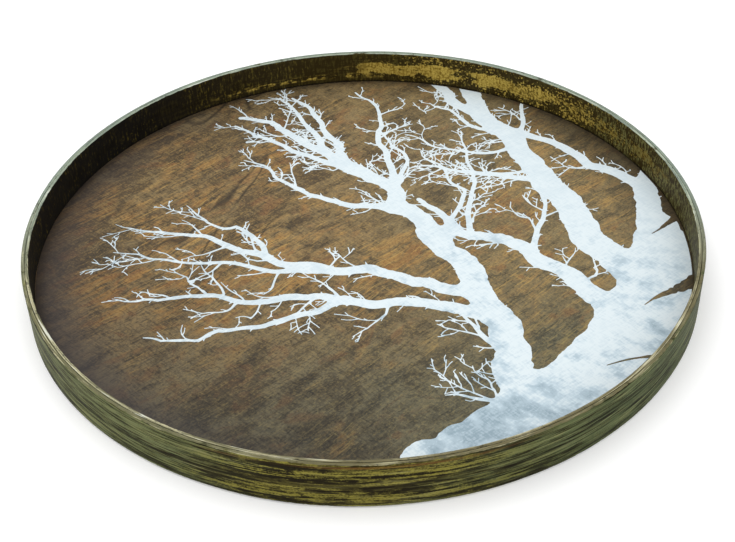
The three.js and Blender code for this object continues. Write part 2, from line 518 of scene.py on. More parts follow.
@dataclass(frozen=True)
class OuterRimLeaf:
    """The outer wall: gold and green-grey leaf rubbed through along the rim to dark paint, the green-grey
    partly a painted reflection, with painted glints, a painted highlight on the lower arris and painted shade
    on the right.
    """

    top: float
    bottom: float
    umber: Colour = paint(26, 21, 5)
    olive: Colour = paint(74, 68, 30)
    gold: Colour = paint(132, 124, 54)
    pale_gold: Colour = paint(168, 164, 112)
    moss: Colour = paint(60, 64, 32)
    # Partly leaf, partly a painted reflection at the wall's sides and along its lower arris.
    verdigris_and_sheen: Colour = paint(103, 110, 74)
    bole: Colour = paint(86, 48, 18)
    # Painted shade, multiplied over the right of the wall.
    painted_right_shade: Colour = (0.52, 0.60, 0.60, 1.0)
    relief: float = 0.00022
    upper_edge: RimTop = RimTop(lightness=0.26)

    def material(self) -> Material:
        """Draws up the outer wall: dark ground, gold bands, green on either side that is partly a painted
        reflection, scratches, painted glints, a painted highlight on the lower arris and painted shade on the
        right.

        Returns:
            The material.
        """
        sheet = ShaderSheet("outer_rim_leaf")
        share = (sheet.z - self.bottom) / (self.top - self.bottom)
        fine = sheet.rim_marks((0, 44, 1500), 4)
        hair = sheet.rim_marks((0, 16, 1100), 3, 0.2)
        streak = sheet.rim_marks((0, 11, 330), 4, 0.5)
        blotch = sheet.rim_marks((0, 70, 260), 4, 0.8)
        grain = sheet.marks((560, 560, 900), 2)
        area = sheet.marks((6, 6, 24), 2)

        sheet.base = sheet.mix((streak * 0.7 + blotch * 0.3).ramp(0.45, 0.55), self.umber, self.olive)
        bands = share.near(0.74, 0.16) * 0.05 + share.near(0.22, 0.14) * 0.04 - share.near(0.5, 0.12) * 0.04
        leaf = (blotch * 0.22 + streak * 0.36 + fine * 0.26 + grain * 0.16 + bands).ramp(0.51, 0.58)
        sheet.lay(leaf * 0.92, self.gold)
        # Green-grey on the left and right, where the wall turns away: partly leaf, partly a painted
        # reflection of the pale room at grazing angles.
        sides = (sheet.x.math("ABSOLUTE") + (area - 0.5) * 0.2).ramp(0.03, 0.17)
        green = sheet.mix((streak * 0.5 + fine * 0.5).ramp(0.42, 0.58), self.moss, self.verdigris_and_sheen)
        covered = (fine * 0.5 + streak * 0.3 + blotch * 0.2 + bands * 0.6).ramp(0.42, 0.53)
        sheet.lay(sides * covered * 0.88, green)
        sheet.lay((fine * 0.7 + grain * 0.3).ramp(0.50, 0.39) * (0.80 - sides * 0.2), self.umber)
        # Painted glints: pale gold streaks, more of them at the sides.
        sheet.lay((hair * 0.7 + streak * 0.3).ramp(0.56, 0.66) * (sides * 0.25 + 0.3), self.pale_gold)
        # Painted highlight: green-grey along the rounded lower arris.
        sheet.lay(share.ramp(0.10, 0.01) * (grain * 0.5 + area * 0.5).ramp(0.40, 0.60) * 0.7, green)
        sheet.lay(share.near(0.935, 0.045) * area.ramp(0.36, 0.52) * (1.0 - sides) * 0.85, self.bole)
        # Painted shade: the right of the wall, turned from the key light, is darkened.
        right = sheet.facing(-22.0).ramp(0.45, 0.95)
        sheet.lay(right * (0.55 + blotch.ramp(0.44, 0.56) * 0.45), self.painted_right_shade, "MULTIPLY")
        self.upper_edge.cover(sheet, self.top)
        relief = sheet.bump(streak * 0.3 + fine * 0.4 + grain * 0.3, self.relief)
        rough = 0.45 + grain * 0.2
        return sheet.finish(Roughness=rough, Metallic=leaf * 0.3, Normal=relief, Specular_IOR_Level=0.05)


@dataclass(frozen=True)
class InnerRimLeaf:
    """The inner wall: near-black on one side, dark paint under painted shade where it turns from the light,
    and ragged gold leaf and speckle on the other.
    """

    top: float
    bottom: float
    # Near-black ground where the wall is in painted shade, and at the wall's foot.
    black: Colour = paint(16, 14, 12)
    umber: Colour = paint(48, 38, 10)
    olive: Colour = paint(70, 62, 26)
    gold: Colour = paint(200, 174, 84)
    dull_gold: Colour = paint(130, 106, 38)
    fleck: Colour = paint(104, 90, 34)
    green_fleck: Colour = paint(112, 110, 66)
    relief: float = 0.0002
    upper_edge: RimTop = RimTop(lightness=0.56)

    def material(self) -> Material:
        """Draws up the inner wall: its ground under painted shade, the torn leaf at the back, speckle, flecks
        and scratches.

        Returns:
            The material.
        """
        sheet = ShaderSheet("inner_rim_leaf")
        share = (sheet.z - self.bottom) / (self.top - self.bottom)
        upright = sheet.marks((520, 520, 130), 3)
        level = sheet.marks((46, 46, 620), 3)
        grain = sheet.marks((430, 430, 480), 3)
        block = sheet.marks((32, 32, 60), 2)
        ragged = sheet.marks((170, 170, 230), 4)
        area = sheet.marks((9, 9, 14), 2)

        # Painted shade: the ground goes from umber to near-black on the side turned away from the light.
        lit = sheet.facing(35.0).ramp(-0.35, 0.62)
        sheet.base = sheet.mix(lit, self.black, self.umber)
        sheet.lay((upright * 0.65 + level * 0.35).ramp(0.46, 0.62) * (lit * 0.75 + 0.12), self.olive)
        rise = share.near(0.46, 0.42).ramp(0.0, 0.8)
        back = sheet.facing(73.0).ramp(0.93, 0.98)
        heart = sheet.facing(71.0).ramp(0.965, 0.995)
        beyond = sheet.facing(102.0).ramp(0.945, 0.99)
        torn = ragged * 0.22 + level * 0.08 + upright * 0.10
        place = back * 0.02 + heart * 0.055 - beyond * 0.04 - 0.25
        leaf = (block * 0.60 + torn + rise * 0.26 + place).ramp(0.495, 0.52)
        metal = sheet.mix((grain * 0.6 + upright * 0.4).ramp(0.38, 0.60), self.dull_gold, self.gold)
        sheet.lay(leaf * back.math("MAXIMUM", sheet.facing(45.0).ramp(0.55, 0.92) * 0.4) * 0.92, metal)
        speckle = (grain * 0.50 + ragged * 0.25 + block * 0.25 + rise * 0.06 - 0.045).ramp(0.49, 0.57)
        sheet.lay(speckle * sheet.facing(50.0).ramp(0.72, 0.97) * 0.85, metal)

        flank = sheet.facing(152.0).ramp(0.93, 0.99)
        flecks = (upright * 0.6 + grain * 0.4).ramp(0.55, 0.63)
        flecks = flecks * area.ramp(0.42, 0.56).math("MAXIMUM", flank * 0.5)
        sheet.lay(flecks * (0.55 - flank * 0.15), self.fleck)
        right = sheet.facing(8.0).ramp(0.82, 0.95)
        sheet.lay(right * 0.45, self.umber)
        scratches = (upright * 0.70 + grain * 0.30).ramp(0.49, 0.57)
        scratches = scratches * (ragged * 0.5 + area * 0.5).ramp(0.36, 0.50)
        sheet.lay(scratches * right * 0.80, self.green_fleck)
        foot = share.near(0.24, 0.13) * sheet.facing(102.0).ramp(0.93, 0.99)
        sheet.lay(foot * (ragged * 0.6 + level * 0.4).ramp(0.49, 0.57) * 0.8, metal)
        # Darker at the foot of the wall, where it meets the floor.
        sheet.lay(share.ramp(0.09, 0.03) * 0.8, self.black)
        self.upper_edge.cover(sheet, self.top)
        relief = sheet.bump(upright * 0.3 + ragged * 0.4 + level * 0.3, self.relief)
        rough = 0.5 + level * 0.16
        return sheet.finish(Roughness=rough, Metallic=leaf * 0.25, Normal=relief, Specular_IOR_Level=0.1)


@dataclass(frozen=True)
class TwoTone:
    """A plain finish of two tones, worked by a leading mark and a second one.

    A mark is its cycles per metre, octaves, twist and turn. The shares are the leading mark's part in the
    tone, in the relief and in the roughness; the second mark makes up the rest.
    """

    name: str
    dark: Colour
    light: Colour
    leading: tuple[Sequence[float] | float, ...]
    second: tuple[Sequence[float] | float, ...]
    shares: tuple[float, float, float]
    tone_range: tuple[float, float]
    relief: float
    roughness: tuple[float, float]
    specular: float = 0.5
    metallic: float = 0.0

    def material(self) -> Material:
        """Draws up the two tones, the relief and the roughness.

        Returns:
            The material.
        """
        sheet = ShaderSheet(self.name)
        leading = sheet.marks(*self.leading)
        second = sheet.marks(*self.second)
        tone, height, polish = (leading * share + second * (1.0 - share) for share in self.shares)
        sheet.base = sheet.mix(tone.ramp(*self.tone_range), self.dark, self.light)
        smoothest, spread = self.roughness
        return sheet.finish(
            Roughness=smoothest + polish * spread,
            Normal=sheet.bump(height, self.relief),
            Specular_IOR_Level=self.specular,
            Metallic=self.metallic,
        )


BACKING_PAINT = TwoTone(
    "backing_paint", paint(46, 40, 34), paint(70, 58, 44),
    leading=((9, 240, 9), 4, 0.0, math.radians(8)), second=((9, 9, 9), 3), shares=(0.6, 1.0, 1.0),
    tone_range=(0.46, 0.66), relief=0.0002, roughness=(0.6, 0.2), specular=0.3,
)
PRESSED_FELT = TwoTone(
    "pressed_felt", paint(44, 43, 42), paint(78, 76, 73),
    leading=((900, 900, 900), 4, 2.0), second=((260, 260, 260), 3), shares=(0.7, 0.6, 0.0),
    tone_range=(0.42, 0.62), relief=0.0005, roughness=(0.88, 0.1), specular=0.15,
)
RAW_BOARD = TwoTone(
    "raw_board", paint(128, 100, 66), paint(176, 146, 104),
    leading=((500, 500, 900), 3), second=((40, 40, 900), 3), shares=(0.5, 1.0, 1.0),
    tone_range=(0.40, 0.60), relief=0.0002, roughness=(0.8, 0.15),
)
DRAWN_WIRE = TwoTone(
    "drawn_wire", paint(120, 118, 112), paint(178, 178, 174),
    leading=((300, 300, 2500), 3), second=((300, 300, 2500), 3), shares=(1.0, 1.0, 1.0),
    tone_range=(0.38, 0.62), relief=0.00003, roughness=(0.28, 0.2), metallic=1.0,
)


# --- Surfaces ---


def make_object(name: str, corners: np.ndarray, faces: np.ndarray, smooth: bool = True) -> Piece:
    """Puts arrays into a new mesh object at the origin.

    Args:
        name: The object's name.
        corners: Points, one row each, in metres.
        faces: Corner numbers, one row a face, all with the same number of corners.
        smooth: Whether the faces are shaded smooth.

    Returns:
        The object, linked to the scene.
    """
    mesh = bpy.data.meshes.new(name)
    count, sides = faces.shape
    mesh.vertices.add(len(corners))
    mesh.vertices.foreach_set("co", corners.astype(np.float32).ravel())
    mesh.loops.add(count * sides)
    mesh.loops.foreach_set("vertex_index", faces.astype(np.int32).ravel())
    mesh.polygons.add(count)
    mesh.polygons.foreach_set("loop_start", np.arange(0, count * sides, sides, dtype=np.int32))
    mesh.polygons.foreach_set("use_smooth", np.full(count, smooth))
    mesh.update(calc_edges=True)
    mesh.validate()
    thing = bpy.data.objects.new(name, mesh)
    bpy.context.scene.collection.objects.link(thing)
    return thing


def dress(piece: Piece, material: Material) -> Piece:
    """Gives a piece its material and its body.

    Args:
        piece: The piece.
        material: Its finish.

    Returns:
        The same piece.
    """
    piece.data.materials.append(material)
    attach(piece, BODY)
    return piece


def grid_faces(rows: int, columns: int, wrap_rows: bool, wrap_columns: bool) -> np.ndarray:
    """The quads of a grid of points, numbered row by row.

    Args:
        rows: Rows of points.
        columns: Points in a row.
        wrap_rows: Whether the last row joins the first.
        wrap_columns: Whether each row's end joins its start.

    Returns:
        Corner numbers, four to a face.
    """
    row = np.arange(rows if wrap_rows else rows - 1)[:, None]
    column = np.arange(columns if wrap_columns else columns - 1)[None, :]
    next_row = (row + 1) % rows * columns
    next_column = (column + 1) % columns
    corners = (row * columns + column, next_row + column, next_row + next_column, row * columns + next_column)
    return np.stack(corners, axis=-1).reshape(-1, 4)


def turned_points(
    azimuth: np.ndarray, radius: np.ndarray, height: np.ndarray, centre: Sequence[float] = (0.0, 0.0)
) -> np.ndarray:
    """Points about an upright axis: the radius times the cosine and sine of the azimuth, and the height.

    Args:
        azimuth: Angles in radians.
        radius: Distances from the axis, in the grid's shape.
        height: Heights.
        centre: The axis's X and Y.

    Returns:
        Points, one row each, in the grid's order.
    """
    x = centre[0] + radius * np.cos(azimuth)
    y = centre[1] + radius * np.sin(azimuth)
    return np.stack([x, y, np.broadcast_to(height, radius.shape)], axis=-1).reshape(-1, 3)


def periodic_noise(azimuth: np.ndarray, lowest: int, highest: int, rng: np.random.Generator) -> np.ndarray:
    """Smooth noise round a ring: a sum of sines of whole numbers of waves with random phases.

    Args:
        azimuth: Angles in radians.
        lowest: The fewest waves in a turn.
        highest: The most waves in a turn.
        rng: The source of random phases and strengths.

    Returns:
        Noise with a spread of about 1 either way.
    """
    waves = np.arange(lowest, highest + 1)
    phases = rng.uniform(0.0, TURN, waves.size)
    strengths = rng.uniform(0.3, 1.0, waves.size)
    total = (np.sin(azimuth[..., None] * waves + phases) * strengths).sum(axis=-1)
    return total / math.sqrt(0.5 * float((strengths**2).sum())) / 1.6


def rounded_section(corners: Sequence[Sequence[float]], arc_steps: int, side_steps: int) -> np.ndarray:
    """A closed section of quarter-circle corners joined by straight sides.

    Each corner's points are its centre plus the round radius times the cosine and sine of an angle that runs
    a quarter turn; each side's points divide the straight line between two arcs evenly.

    Args:
        corners: Counter-clockwise from the lower inner one with the axis on the left: each one's distance
            from the axis, height and round radius, in metres.
        arc_steps: Steps along each rounded corner.
        side_steps: Steps along each side.

    Returns:
        Points as distance from the axis and height.
    """
    arcs = []
    for turned, (distance, height, round_radius) in enumerate(corners, start=2):
        angle = turned % 4 * QUARTER + np.linspace(0.0, QUARTER, arc_steps + 1)
        arcs.append(np.stack([np.cos(angle), np.sin(angle)], axis=1) * round_radius + (distance, height))
    parts = []
    for arc, following in zip(arcs, arcs[1:] + arcs[:1]):
        share = np.linspace(0.0, 1.0, side_steps + 1)[1:-1, None]
        parts += [arc, arc[-1] + (following[0] - arc[-1]) * share]
    return np.vstack(parts)


def outward_normals(section: np.ndarray) -> np.ndarray:
    """Unit normals of a closed counter-clockwise section, from its neighbours' difference turned right.

    Args:
        section: Points as distance from the axis and height.

    Returns:
        The normals, one row each.
    """
    along = np.roll(section, -1, axis=0) - np.roll(section, 1, axis=0)
    along /= np.linalg.norm(along, axis=1, keepdims=True)
    return np.stack([along[:, 1], -along[:, 0]], axis=1)


# --- Rim strips and flat sheets ---


@dataclass
class BentStrip:
    """One strip of the rim, bent into a ring and closed with a scarf joint, with hand-worn arrises.

    The arrises are the round radii of the lower inner, lower outer, upper outer and upper inner corners.
    """

    node: str
    piece: str
    slot: str
    scarf_azimuth: float
    thickness: float
    arrises: tuple[float, float, float, float]
    seed: int
    scarf_length: float = 30 * MM
    waviness: float = 0.10 * MM
    chip_depth: float = 0.35 * MM
    chip_threshold: float = 0.55
    seam_depth: float = 0.22 * MM
    seam_width: float = 0.5 * MM
    steps: int = 900
    joint_steps: int = 120
    joint_reach: float = 0.062
    arc_steps: int = 5
    side_steps: int = 7

    def box(self) -> tuple[float, float, float]:
        """The strip's outer radius, bottom and top, from its CAD node."""
        low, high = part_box(self.node)
        return float(high[0] - low[0]) / 2, float(low[2]), float(high[2])

    def azimuths(self) -> np.ndarray:
        """Even azimuths with closer ones at the scarf joint.

        Returns:
            Angles in radians, in rising order.
        """
        even = np.linspace(0.0, TURN, self.steps, endpoint=False)
        spread = np.linspace(-self.joint_reach, self.joint_reach, self.joint_steps)
        close = math.radians(self.scarf_azimuth) + spread
        return np.unique(np.round(np.concatenate([even, close]) % TURN, 6))

    def section(self) -> np.ndarray:
        """The strip's rounded section, from its box and its arrises.

        Returns:
            Points as distance from the axis and height.
        """
        outside, bottom, top = self.box()
        inside = outside - self.thickness
        low_in, low_out, high_out, high_in = self.arrises
        corners = (
            (inside + low_in, bottom + low_in, low_in),
            (outside - low_out, bottom + low_out, low_out),
            (outside - high_out, top - high_out, high_out),
            (inside + high_in, top - high_in, high_in),
        )
        return rounded_section(corners, self.arc_steps, self.side_steps)

    def build(self, material: Material) -> Piece:
        """Carries the rounded section round the ring and dresses it.

        A point's place is the section point plus its outward normal times an offset, turned to the
        azimuth. The offset is never outward: it sums a slow waviness, chips at the rounded corners and the
        scarf joint's groove, which falls away as a bell curve of the distance from the slanted joint.

        Args:
            material: The strip's finish.

        Returns:
            The strip.
        """
        outside = self.box()[0]
        section = self.section()
        normals = outward_normals(section)
        azimuth = self.azimuths()
        rng = np.random.default_rng(self.seed)
        slow = -self.waviness * (1.0 + periodic_noise(azimuth, 3, 24, rng))[:, None]
        ragged = np.clip(periodic_noise(azimuth, 60, 260, rng) - self.chip_threshold, 0.0, 1.0)[:, None]
        chips = -self.chip_depth * ragged * (4.0 * (normals[:, 0] * normals[:, 1]) ** 2)[None, :]
        through = 2.0 * (section[:, 0] - (outside - self.thickness)) / self.thickness - 1.0
        joint = math.radians(self.scarf_azimuth) + self.scarf_length / 2 / outside * through
        away = (azimuth[:, None] - joint[None, :] + TURN / 2) % TURN - TURN / 2
        groove = -self.seam_depth * np.exp(-((away * outside / self.seam_width) ** 2))
        offset = np.minimum(slow + chips + groove, 0.0)
        radius = section[None, :, 0] + offset * normals[None, :, 0]
        height = section[None, :, 1] + offset * normals[None, :, 1]
        points = turned_points(azimuth[:, None], radius, height)
        strip = make_object(self.piece, points, grid_faces(len(azimuth), len(section), True, True))
        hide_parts(self.node)
        return dress(strip, material)


@dataclass
class Disc:
    """A flat round sheet with softened edges, such as a veneer or a felt pad."""

    node: str
    piece: str
    slot: str
    edge: float
    rings: int = 24
    segments: int = 360
    bend_steps: int = 4
    grow: float = 0.0
    ragged: float = 0.0
    seed: int = 1

    def section(self, reach: float, bottom: float, top: float) -> np.ndarray:
        """Half the disc's outline, from near the middle of the top, round the edge, to near the middle below.

        Args:
            reach: The disc's radius.
            bottom: The height of its underside.
            top: The height of its top.

        Returns:
            Points as distance from the disc's axis and height.
        """
        flat = np.linspace(0.0, reach - self.edge, self.rings + 1)[1:]
        bend = np.linspace(0.0, QUARTER, self.bend_steps + 1)[1:]
        curve = reach - self.edge + self.edge * np.sin(bend)
        upper = np.column_stack([curve, top - self.edge * (1 - np.cos(bend))])
        lower = np.column_stack([upper[::-1, 0], bottom + top - upper[::-1, 1]])
        middle_out = np.column_stack([flat, np.full(flat.size, top)])
        edge_in = np.column_stack([flat[::-1], np.full(flat.size, bottom)])
        return np.vstack([middle_out, upper, lower, edge_in])

    def faces(self, rows: int) -> np.ndarray:
        """The disc's triangles: a fan at either pole and two to each quad between them.

        Args:
            rows: Points in the section. The poles follow all of the section's points.

        Returns:
            Corner numbers, three to a face.
        """
        quads = grid_faces(rows, self.segments, False, True)
        here = np.arange(self.segments)
        following = (here + 1) % self.segments
        last = (rows - 1) * self.segments
        pole = np.full(self.segments, rows * self.segments)
        top_fan = np.stack([pole, here, following], axis=1)
        under_fan = np.stack([pole + 1, last + following, last + here], axis=1)
        return np.vstack([top_fan, under_fan, quads[:, [0, 1, 2]], quads[:, [0, 2, 3]]])

    def build(self, material: Material) -> Piece:
        """Turns the section about the disc's own axis, a little unevenly if it is ragged, and dresses it.

        Args:
            material: The disc's finish.

        Returns:
            The disc.
        """
        low, high = (np.array(corner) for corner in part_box(self.node))
        centre = (low + high) / 2
        reach = float(high[0] - low[0]) / 2 + self.grow
        section = self.section(reach, low[2], high[2])
        azimuth = np.linspace(0.0, TURN, self.segments, endpoint=False)
        rng = np.random.default_rng(self.seed)
        shrink = self.ragged * (0.5 + 0.5 * np.clip(periodic_noise(azimuth, 5, 40, rng), -1, 1))
        radius = section[:, 0][:, None] * (1.0 - shrink / reach)[None, :]
        points = turned_points(azimuth, radius, section[:, 1][:, None], centre)
        poles = np.array([[centre[0], centre[1], high[2]], [centre[0], centre[1], low[2]]])
        disc = make_object(self.piece, np.vstack([points, poles]), self.faces(len(section)))
        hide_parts(self.node)
        return dress(disc, material)


# --- The painted tree, in millimetres on the floor ---


class TwigHabit(Enum):
    """How a limb carries side branches: the share it starts after, the gap between them and their reach."""

    BARE = (1.0, 1.0, 0.0)
    SPARSE = (0.45, 26.0, 40.0)
    LOOSE = (0.22, 15.0, 66.0)
    LACY = (0.10, 10.0, 50.0)
    BRUSH = (0.03, 8.0, 38.0)


BARE, SPARSE, LOOSE, LACY, BRUSH = TwigHabit


@dataclass(frozen=True)
class LimbPlan:
    """One main limb of the painted tree, in millimetres and degrees on the floor.

    It springs from its parent at a share of the parent's length, sets off at a heading (0 is +X, 90 is +Y),
    turns by bend along its length and narrows from one half width to another.
    """

    name: str
    parent: str
    share: float
    heading: float
    length: float
    bend: float
    half_width: float
    tip: float
    habit: TwigHabit


LIMB_PLANS = tuple(LimbPlan(*row) for row in (
    ("near_trunk", "root_bank", 0.20, 88, 275, 30, 17.0, 10.0, BARE),
    ("near_crown", "near_trunk", 0.97, 126, 300, 12, 10.0, 2.2, LACY),
    ("far_trunk", "root_bank", 0.76, 108, 440, 6, 18.0, 7.0, SPARSE),
    ("side_trunk", "root_bank", 0.90, 88, 200, -22, 14.0, 7.0, SPARSE),
    ("middle_limb", "root_bank", 0.58, 122, 290, 16, 13.0, 2.4, LOOSE),
    ("crown_left", "near_crown", 0.10, 150, 220, -4, 5.0, 0.5, LACY),
    ("crown_fan", "near_crown", 0.40, 112, 180, 12, 5.0, 1.4, BRUSH),
    ("crown_fan_low", "near_crown", 0.48, 150, 150, -12, 4.2, 1.0, BRUSH),
    ("crown_fan_high", "near_crown", 0.62, 108, 120, 14, 3.6, 1.2, BRUSH),
    ("crown_up", "near_crown", 0.22, 94, 220, 12, 4.4, 1.0, LACY),
    ("inner_twig", "middle_limb", 0.72, 84, 180, 12, 3.0, 0.5, BRUSH),
    ("inner_link", "middle_limb", 0.50, 66, 120, 30, 3.4, 0.8, LACY),
    ("far_left", "far_trunk", 0.46, 152, 130, 34, 4.4, 0.8, LACY),
    ("far_inner", "far_trunk", 0.62, 146, 120, -20, 3.6, 0.5, BRUSH),
    ("far_fork", "far_trunk", 0.66, 138, 160, -28, 7.0, 5.0, SPARSE),
    ("far_right", "far_trunk", 0.60, 78, 130, 10, 3.2, 0.8, LACY),
    ("side_fork", "side_trunk", 0.50, 128, 190, 24, 7.0, 3.0, LACY),
    ("upper_reach", "near_trunk", 0.64, 160, 370, 2, 7.6, 0.4, LOOSE),
    ("lower_reach", "near_trunk", 0.50, 162, 360, 22, 7.2, 0.4, LOOSE),
    ("reach_rise", "upper_reach", 0.56, 124, 130, 20, 3.0, 0.4, LACY),
    ("reach_fork", "upper_reach", 0.34, 178, 220, -16, 3.8, 0.4, LOOSE),
    ("reach_drop", "lower_reach", 0.40, 200, 190, -12, 4.2, 0.6, SPARSE),
    ("low_spray", "near_trunk", 0.34, 146, 80, -40, 3.2, 0.4, LACY),
    ("low_spur", "near_trunk", 0.10, 160, 64, 10, 2.8, 0.4, LACY),
    ("lace_middle", "middle_limb", 0.84, 62, 140, 76, 2.6, 0.5, LACY),
    ("lace_far", "far_trunk", 0.60, 192, 130, -52, 2.6, 0.5, LACY),
    ("lace_near", "near_crown", 0.30, 58, 130, 70, 2.8, 0.5, LACY),
    ("lace_inner", "far_trunk", 0.50, 200, 100, -64, 2.4, 0.5, BRUSH),
))


@dataclass
class Limb:
    """A limb or twig ready to be painted: its middle line and half widths, in millimetres."""

    line: np.ndarray
    half_width: np.ndarray
    is_main: bool

    def steps(self) -> tuple[np.ndarray, np.ndarray]:
        """The vectors between the points, and how far along the limb each point lies."""
        hops = np.diff(self.line, axis=0)
        return hops, np.concatenate([[0.0], np.cumsum(np.hypot(hops[:, 0], hops[:, 1]))])

    def length(self) -> float:
        """The limb's length along its middle line."""
        return self.steps()[1][-1]

    def at(self, distance: float) -> tuple[np.ndarray, float, float]:
        """Where the limb is at a distance along it.

        Args:
            distance: Millimetres from the limb's start.

        Returns:
            The point, the heading in radians and the half width there.
        """
        hops, along = self.steps()
        index = int(np.clip(np.searchsorted(along, distance) - 1, 0, len(hops) - 1))
        share = (distance - along[index]) / max(along[index + 1] - along[index], 1e-6)
        point = self.line[index] + hops[index] * share
        width = self.half_width[index] * (1 - share) + self.half_width[index + 1] * share
        return point, math.atan2(hops[index][1], hops[index][0]), float(width)


@dataclass(frozen=True)
class Gnarl:
    """How crooked a limb is: slow swing and sharp kinks in radians, uneven width and the taper's power."""

    swing: float
    kink: float
    uneven: float
    taper: float


@dataclass(frozen=True)
class RootBank:
    """The roots along the rim: an arc in degrees and millimetres, widest past its middle.

    The radius dips and the half width swells with the sine of the share along the arc.
    """

    first_azimuth: float = -80.0
    sweep: float = 84.0
    radius: float = 276.0
    dip: float = 8.0
    half_width: float = 12.0
    swell: float = 32.0
    swell_range: tuple[float, float] = (0.08, 0.96)
    swell_power: float = 0.7
    uneven: float = 0.05
    points: int = 60


@dataclass
class TreeGrower:
    """Grows a bare tree from its main limbs with seeded side branches, twigs and stubs."""

    rng: np.random.Generator
    floor_reach: float
    step: float = 4.0
    swing_length: float = 14.0
    kink_chance: float = 0.16
    kink_fade: float = 0.74
    stub_gap: float = 22.0
    deepest: int = 3
    shortest_parent: float = 9.0
    thinnest: float = 0.42
    collar: float = 0.45
    branch_start: float = 0.22
    gap_shrink: float = 0.62
    least_gap: float = 5.0
    reach_shrink: float = 0.6
    side_change: float = 0.7
    roots: RootBank = RootBank()
    limb_gnarl: Gnarl = Gnarl(0.19, 0.30, 0.05, 0.85)
    twig_gnarl: Gnarl = Gnarl(0.26, 0.60, 0.14, 0.90)
    split_gnarl: Gnarl = Gnarl(0.07, 0.20, 0.12, 1.10)
    limbs: list[Limb] = field(default_factory=list)

    def grow(self, plans: Iterable[LimbPlan]) -> list[Limb]:
        """Grows the root bank and every planned limb in order, and then their branches.

        Args:
            plans: The main limbs, each after its parent.

        Returns:
            All limbs, branches, twigs and stubs.
        """
        named = {"root_bank": self._root_bank()}
        self.limbs.append(named["root_bank"])
        for plan in plans:
            parent = named[plan.parent]
            point, _, _ = parent.at(plan.share * parent.length())
            turn = (math.radians(plan.heading), math.radians(plan.bend))
            limb = self._lay(point, turn, plan.length, (plan.half_width, plan.tip), self.limb_gnarl)
            limb.is_main = True
            named[plan.name] = limb
            self.limbs.append(limb)
            self._stubs(limb)
        for plan in plans:
            first, gap, reach = plan.habit.value
            if reach > 0:
                self._branch(named[plan.name], first, gap, reach, 1)
        return self.limbs

    def cracks(self, count: int) -> list[Limb]:
        """Wedge-shaped splits that run in from the floor's edge, to be cut out of the root bank.

        Args:
            count: How many.

        Returns:
            The splits.
        """
        bank = self.limbs[0]
        splits = []
        for share in np.linspace(0.62, 0.99, count) + self.rng.uniform(-0.05, 0.05, count):
            point, _, _ = bank.at(share * bank.length())
            azimuth = math.atan2(point[1], point[0])
            start = np.array([math.cos(azimuth), math.sin(azimuth)]) * self.floor_reach
            heading = azimuth + TURN / 2 + self.rng.uniform(0.6, 1.0)
            widths = (self.rng.uniform(1.4, 6.5), 0.4)
            length = self.rng.uniform(24, 62)
            splits.append(self._lay(start, (heading, 0.0), length, widths, self.split_gnarl))
        return splits

    def _root_bank(self) -> Limb:
        """The root bank, laid along its arc with an uneven half width.

        Returns:
            The root bank as a limb.
        """
        bank = self.roots
        share = np.linspace(0.0, 1.0, bank.points)
        azimuth = np.radians(bank.first_azimuth + bank.sweep * share)
        radius = bank.radius - bank.dip * np.sin(math.pi * share)
        line = np.stack([radius * np.cos(azimuth), radius * np.sin(azimuth)], axis=1)
        first, last = bank.swell_range
        swell = np.sin(math.pi * (first + (last - first) * share)) ** bank.swell_power
        uneven = np.clip(1 + self.rng.normal(0, bank.uneven, bank.points), 0.88, 1.12)
        return Limb(line, (bank.half_width + bank.swell * swell) * uneven, True)

    def _wander(self, count: int, gnarl: Gnarl) -> np.ndarray:
        """How far a limb's heading strays at each step, with a mean of zero.

        The stray is smoothed random swing plus kinks, each of which fades by about a quarter a step.

        Args:
            count: Steps along the limb.
            gnarl: How crooked it is.

        Returns:
            Angles in radians.
        """
        reach = max(int(self.swing_length / self.step), 1)
        window = np.hanning(2 * reach + 3)
        window /= math.sqrt(float((window**2).sum()))
        swing = np.convolve(self.rng.normal(0, 1, count + len(window) - 1), window, "valid")
        is_kink = self.rng.random(count) < self.kink_chance
        kinks = np.where(is_kink, self.rng.normal(0, gnarl.kink, count), 0.0)
        since = np.subtract.outer(np.arange(count), np.arange(count))
        stray = gnarl.swing * swing + (np.tril(self.kink_fade ** since.clip(0)) * kinks).sum(axis=1)
        return stray - stray.mean()

    def _lay(
        self, start: np.ndarray, turn: Sequence[float], length: float, widths: Sequence[float], gnarl: Gnarl
    ) -> Limb:
        """Walks one limb out from a point.

        Each hop's angle is the heading, plus the bend's share so far, plus the stray. The half width falls
        by a power of the distance left, with a collar at the start that fades as an exponential.

        Args:
            start: The first point.
            turn: The heading and the whole bend, in radians.
            length: The limb's length.
            widths: The half widths at the start and the tip.
            gnarl: How crooked it is.

        Returns:
            The limb.
        """
        count = max(3, int(length / self.step))
        share = (np.arange(count) + 0.5) / count
        angle = turn[0] + turn[1] * share + self._wander(count, gnarl)
        hops = length / count * self.rng.uniform(0.75, 1.25, count)
        moves = np.stack([np.cos(angle), np.sin(angle)], axis=1) * hops[:, None]
        along = np.linspace(0, 1, count + 1)
        collar = 1 + self.collar * np.exp(-along * length / max(1.1 * widths[0], 1))
        half_width = (widths[1] + (widths[0] - widths[1]) * (1 - along) ** gnarl.taper) * collar
        half_width *= np.clip(1 + self.rng.normal(0, gnarl.uneven, count + 1), 0.7, 1.3)
        line = np.vstack([start, start + np.cumsum(moves, axis=0)])
        return Limb(line, np.maximum(half_width, self.thinnest), False)

